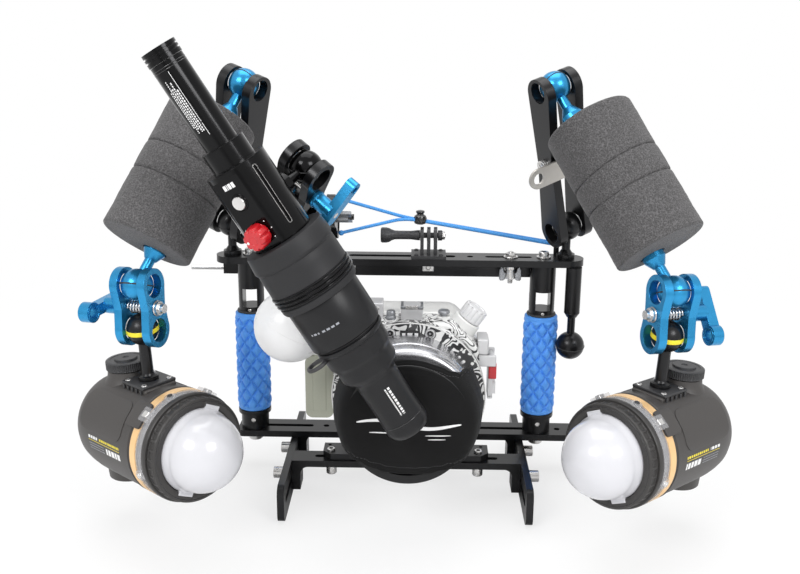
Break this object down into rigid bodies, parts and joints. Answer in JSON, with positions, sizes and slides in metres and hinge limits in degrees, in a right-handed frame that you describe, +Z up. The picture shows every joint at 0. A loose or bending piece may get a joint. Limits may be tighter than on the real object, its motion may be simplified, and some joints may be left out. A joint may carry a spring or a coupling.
{
  "type": "underwater_camera_rig",
  "caption": "Underwater camera rig: slotted tray with two blue-grip handles, housed camera with covered port, snooted macro flash and two dome strobes on float arms",
  "frame": {"origin": "Centre of the overall outline seen from above, at the level the legs stand on", "axes": "X to the viewer's right along the tray, Y away from the viewer so the port faces -Y, Z up"},
  "size_m": [0.5344, 0.2702, 0.4021],
  "materials": {
    "black_metal": "satin",
    "steel": "satin",
    "blue_metal": "satin",
    "blue_rubber": "matte",
    "black_rubber": "matte",
    "black_plastic": "matte",
    "gloss_black": "gloss",
    "white_plastic": "gloss",
    "white_diffuser": "satin",
    "grey_plastic": "matte",
    "grey_metal": "satin",
    "foam": "matte",
    "cord": "matte",
    "red_plastic": "gloss",
    "housing_white": "gloss"
  },
  "bodies": {
    "rig": {"base_bar": "black_metal", "front_tray": "black_metal", "legs": "black_metal", "frame_bolts": "steel", "housing_plate": "black_metal", "handles": "black_metal", "grips": "blue_rubber", "top_plate": "black_metal", "rear_bar": "black_metal", "ball_mounts": "black_metal", "action_mount": "black_plastic", "blue_line": "cord", "housing_front": "housing_white", "housing_back": "housing_white", "side_box": "grey_plastic", "hot_shoe": "grey_metal", "port_shroud": "white_plastic", "port_ring": "grey_metal", "port_hood": "black_plastic", "lens_cover": "black_rubber", "dome_diffuser": "white_diffuser", "plate_clamp": "black_metal"},
    "action_screw": {"action_screw": "black_plastic"},
    "wing_nut": {"wing_nut": "black_metal"},
    "cord_toggle": {"cord_toggle": "gloss_black"},
    "latch": {"latch": "red_plastic"},
    "control_knob": {"control_knob": "white_plastic"},
    "shutter_button": {"shutter_button": "black_plastic"},
    "plate_wing": {"plate_wing": "grey_metal"},
    "flash_link": {"flash_link": "black_metal"},
    "flash_clamp": {"flash_clamp": "black_metal"},
    "flash_lever": {"flash_lever": "blue_metal"},
    "flash": {"flash_body": "black_metal"},
    "flash_cap": {"flash_cap": "black_metal"},
    "flash_button": {"flash_button": "steel"},
    "flash_knob": {"flash_knob": "red_plastic"},
    "snoot": {"snoot_sleeve": "black_rubber", "snoot_barrel": "gloss_black"},
    "long_clamp_left": {"long_clamp_left": "black_metal"},
    "float_arm_left": {"float_arm_left": "blue_metal", "float_left": "foam"},
    "blue_clamp_left": {"blue_clamp_left": "blue_metal", "clamp_spring_left": "steel"},
    "clamp_lever_left": {"clamp_lever_left": "blue_metal"},
    "strobe_stem_left": {"strobe_stem_left": "black_metal"},
    "strobe_left": {"strobe_body_left": "black_plastic", "diffuser_left": "white_diffuser"},
    "strobe_dial_left": {"strobe_dial_left": "black_plastic"},
    "battery_cap_left": {"battery_cap_left": "black_plastic"},
    "long_clamp_right": {"long_clamp_right": "black_metal"},
    "float_arm_right": {"float_arm_right": "blue_metal", "float_right": "foam"},
    "blue_clamp_right": {"blue_clamp_right": "blue_metal", "clamp_spring_right": "steel"},
    "clamp_lever_right": {"clamp_lever_right": "blue_metal"},
    "strobe_stem_right": {"strobe_stem_right": "black_metal"},
    "strobe_right": {"strobe_body_right": "black_plastic", "diffuser_right": "white_diffuser"},
    "strobe_dial_right": {"strobe_dial_right": "black_plastic"},
    "battery_cap_right": {"battery_cap_right": "black_plastic"}
  },
  "joints": [
    {"name": "action_screw_turn", "type": "hinge", "parent": "rig", "child": "action_screw", "pos_m": [0.0199, 0.08007, 0.2243], "axis": [1, 0, 0], "continuous": true},
    {"name": "wing_nut_turn", "type": "hinge", "parent": "rig", "child": "wing_nut", "pos_m": [0.0937, 0.08007, 0.1922], "axis": [0, 0, 1], "continuous": true},
    {"name": "cord_toggle_slide", "type": "slide", "parent": "rig", "child": "cord_toggle", "axis": [0.9795, 0.0894, -0.1803], "range_m": [-0.001, 0.01]},
    {"name": "latch_swing", "type": "hinge", "parent": "rig", "child": "latch", "pos_m": [0.0747, 0.02207, 0.131], "axis": [0, -1, 0], "range_deg": [0, 70]},
    {"name": "control_knob_turn", "type": "hinge", "parent": "rig", "child": "control_knob", "pos_m": [0.0492, 0.02607, 0.156], "axis": [0.5736, 0, 0.8192], "continuous": true},
    {"name": "shutter_press", "type": "slide", "parent": "rig", "child": "shutter_button", "axis": [0, 0, -1], "range_m": [0, 0.002], "stiffness_N_per_m": 300, "springref_m": -0.001},
    {"name": "plate_wing_turn", "type": "hinge", "parent": "rig", "child": "plate_wing", "pos_m": [-0.0768, 0.06352, 0.24373], "axis": [1, 0, 0], "continuous": true},
    {"name": "flash_link_tilt", "type": "hinge", "parent": "rig", "child": "flash_link", "pos_m": [-0.0768, 0.04707, 0.253], "axis": [-1, 0, 0], "range_deg": [0, 25]},
    {"name": "flash_clamp_tilt", "type": "hinge", "parent": "flash_link", "child": "flash_clamp", "pos_m": [-0.0855, -0.03833, 0.2766], "axis": [-0.7441, 0.3934, 0.54], "range_deg": [0, 25]},
    {"name": "flash_lever_turn", "type": "hinge", "parent": "flash_clamp", "child": "flash_lever", "pos_m": [-0.07965, -0.04813, 0.2918], "axis": [0.7441, -0.3934, -0.54], "range_deg": [-150, 50]},
    {"name": "flash_turn", "type": "hinge", "parent": "flash_clamp", "child": "flash", "pos_m": [-0.0738, -0.05793, 0.307], "axis": [-0.4742, -0.8132, -0.3374], "range_deg": [0, 30]},
    {"name": "flash_cap_turn", "type": "hinge", "parent": "flash", "child": "flash_cap", "pos_m": [-0.1665, -0.10993, 0.3953], "axis": [0.5227, 0.0483, -0.8511], "continuous": true},
    {"name": "flash_button_press", "type": "slide", "parent": "flash", "child": "flash_button", "axis": [0.3235, 0.9125, 0.2505], "range_m": [0, 0.0015], "stiffness_N_per_m": 400, "springref_m": -0.001},
    {"name": "flash_knob_turn", "type": "hinge", "parent": "flash", "child": "flash_knob", "pos_m": [-0.09259, -0.1031, 0.27495], "axis": [-0.3235, -0.9125, -0.2505], "range_deg": [-135, 135]},
    {"name": "snoot_slide", "type": "slide", "parent": "flash", "child": "snoot", "axis": [0.5227, 0.0483, -0.8511], "range_m": [0, 0.012]},
    {"name": "long_clamp_tilt_left", "type": "hinge", "parent": "rig", "child": "long_clamp_left", "pos_m": [-0.1564, 0.08007, 0.2344], "axis": [-0.8449, 0.4489, 0.291], "range_deg": [-10, 12]},
    {"name": "float_arm_swing_left", "type": "hinge", "parent": "long_clamp_left", "child": "float_arm_left", "pos_m": [-0.13456, 0.04017, 0.35938], "axis": [-0.8449, 0.4489, 0.291], "range_deg": [0, 12]},
    {"name": "blue_clamp_swing_left", "type": "hinge", "parent": "float_arm_left", "child": "blue_clamp_left", "pos_m": [-0.2075, -0.05193, 0.2125], "axis": [-0.9381, 0.3419, -0.0557], "range_deg": [-20, 30]},
    {"name": "clamp_lever_turn_left", "type": "hinge", "parent": "blue_clamp_left", "child": "clamp_lever_left", "pos_m": [-0.20643, -0.05193, 0.19453], "axis": [-0.9381, 0.3419, -0.0557], "continuous": true},
    {"name": "strobe_tilt_left", "type": "hinge", "parent": "blue_clamp_left", "child": "strobe_stem_left", "pos_m": [-0.20536, -0.05193, 0.17656], "axis": [0.9381, -0.3419, 0.0557], "range_deg": [-20, 20]},
    {"name": "strobe_yaw_left", "type": "hinge", "parent": "strobe_stem_left", "child": "strobe_left", "pos_m": [-0.2029, -0.05193, 0.13514], "axis": [0.0593, 0, -0.9982], "range_deg": [-30, 30]},
    {"name": "strobe_dial_turn_left", "type": "hinge", "parent": "strobe_left", "child": "strobe_dial_left", "pos_m": [-0.24935, -0.00734, 0.09651], "axis": [-0.736, 0.6756, -0.0437], "range_deg": [-135, 135]},
    {"name": "battery_cap_turn_left", "type": "hinge", "parent": "strobe_left", "child": "battery_cap_left", "pos_m": [-0.22597, -0.03099, 0.13797], "axis": [0.0593, 0, -0.9982], "continuous": true},
    {"name": "long_clamp_tilt_right", "type": "hinge", "parent": "rig", "child": "long_clamp_right", "pos_m": [0.1426, 0.08007, 0.2344], "axis": [-0.8449, -0.4489, -0.291], "range_deg": [-10, 20]},
    {"name": "float_arm_swing_right", "type": "hinge", "parent": "long_clamp_right", "child": "float_arm_right", "pos_m": [0.12076, 0.04017, 0.35938], "axis": [-0.8449, -0.4489, -0.291], "range_deg": [0, 30]},
    {"name": "blue_clamp_swing_right", "type": "hinge", "parent": "float_arm_right", "child": "blue_clamp_right", "pos_m": [0.2075, -0.05193, 0.2125], "axis": [-0.9381, -0.3419, 0.0557], "range_deg": [-20, 30]},
    {"name": "clamp_lever_turn_right", "type": "hinge", "parent": "blue_clamp_right", "child": "clamp_lever_right", "pos_m": [0.20643, -0.05193, 0.19453], "axis": [-0.9381, -0.3419, 0.0557], "continuous": true},
    {"name": "strobe_tilt_right", "type": "hinge", "parent": "blue_clamp_right", "child": "strobe_stem_right", "pos_m": [0.20536, -0.05193, 0.17656], "axis": [0.9381, 0.3419, -0.0557], "range_deg": [-20, 20]},
    {"name": "strobe_yaw_right", "type": "hinge", "parent": "strobe_stem_right", "child": "strobe_right", "pos_m": [0.2029, -0.05193, 0.13514], "axis": [0.0593, 0, 0.9982], "range_deg": [-30, 30]},
    {"name": "strobe_dial_turn_right", "type": "hinge", "parent": "strobe_right", "child": "strobe_dial_right", "pos_m": [0.24935, -0.00734, 0.09651], "axis": [-0.736, -0.6756, 0.0437], "range_deg": [-135, 135]},
    {"name": "battery_cap_turn_right", "type": "hinge", "parent": "strobe_right", "child": "battery_cap_right", "pos_m": [0.22597, -0.03099, 0.13797], "axis": [0.0593, 0, 0.9982], "continuous": true}
  ]
}
